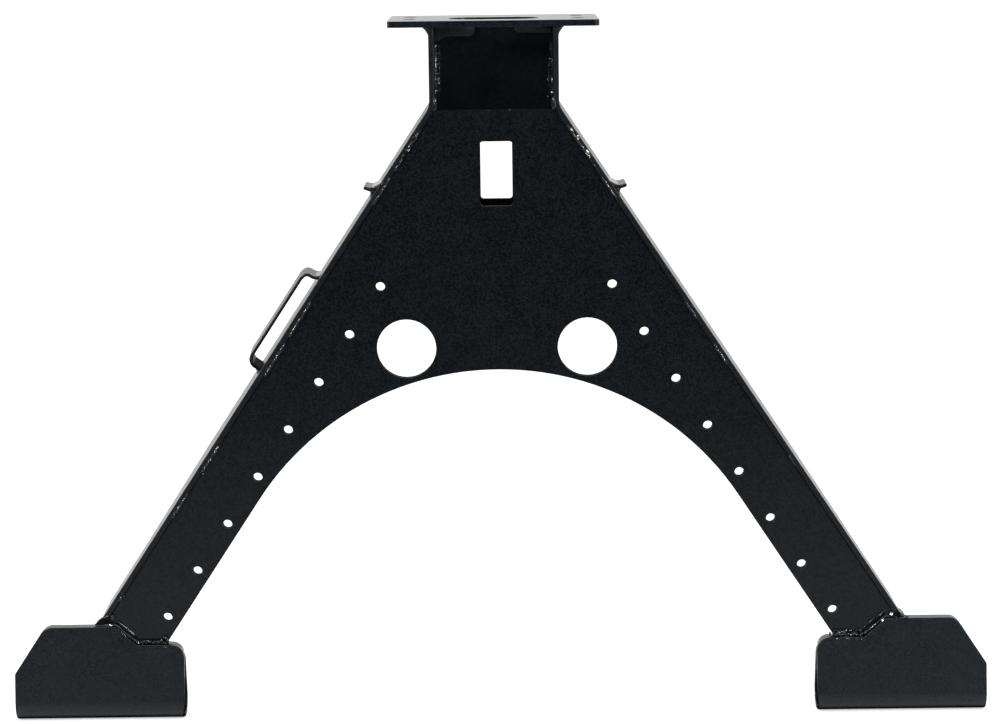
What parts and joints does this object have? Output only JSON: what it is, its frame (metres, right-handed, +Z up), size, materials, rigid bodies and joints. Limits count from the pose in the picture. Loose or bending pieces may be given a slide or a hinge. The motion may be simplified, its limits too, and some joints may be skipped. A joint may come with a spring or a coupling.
{
  "type": "a-frame hitch support",
  "caption": "Welded A-frame hitch support: drilled top flange, splayed perforated legs edged by flat bars, folded foot shoes, a strap loop and small lugs.",
  "frame": {"origin": "floor level under the middle of the whole object", "axes": "+X to the right across the legs, -Y out of the front web, +Z up through the flange"},
  "size_m": [0.987, 0.141, 0.7037],
  "materials": {
    "frame_paint": "satin black powder coat",
    "shoe_paint": "satin black powder coat",
    "weld_paint": "glossy black powder coat"
  },
  "bodies": {
    "root": {"flange_weld_left": "weld_paint", "flange_weld_right": "weld_paint", "foot_shoe_left": "shoe_paint", "foot_shoe_right": "shoe_paint", "foot_weld_back_left": "weld_paint", "foot_weld_back_right": "weld_paint", "foot_weld_front_left": "weld_paint", "foot_weld_front_right": "weld_paint", "front_web": "frame_paint", "heel_weld_left": "weld_paint", "heel_weld_right": "weld_paint", "loop_weld_lower": "weld_paint", "loop_weld_upper": "weld_paint", "lug_left": "frame_paint", "lug_right": "frame_paint", "lug_weld_lower_left": "weld_paint", "lug_weld_lower_right": "weld_paint", "lug_weld_upper_left": "weld_paint", "lug_weld_upper_right": "weld_paint", "rear_web": "frame_paint", "rear_web_weld_left": "weld_paint", "rear_web_weld_right": "weld_paint", "riser_weld_left": "weld_paint", "riser_weld_right": "weld_paint", "seam_weld_left_1": "weld_paint", "seam_weld_left_2": "weld_paint", "seam_weld_left_3": "weld_paint", "seam_weld_left_4": "weld_paint", "seam_weld_left_5": "weld_paint", "seam_weld_left_6": "weld_paint", "seam_weld_left_7": "weld_paint", "seam_weld_left_8": "weld_paint", "seam_weld_right_1": "weld_paint", "seam_weld_right_2": "weld_paint", "seam_weld_right_3": "weld_paint", "seam_weld_right_4": "weld_paint", "seam_weld_right_5": "weld_paint", "shoulder_weld_left": "weld_paint", "shoulder_weld_right": "weld_paint", "side_bar_left": "frame_paint", "side_bar_right": "frame_paint", "strap_loop": "frame_paint", "top_flange": "frame_paint"}
  },
  "joints": []
}
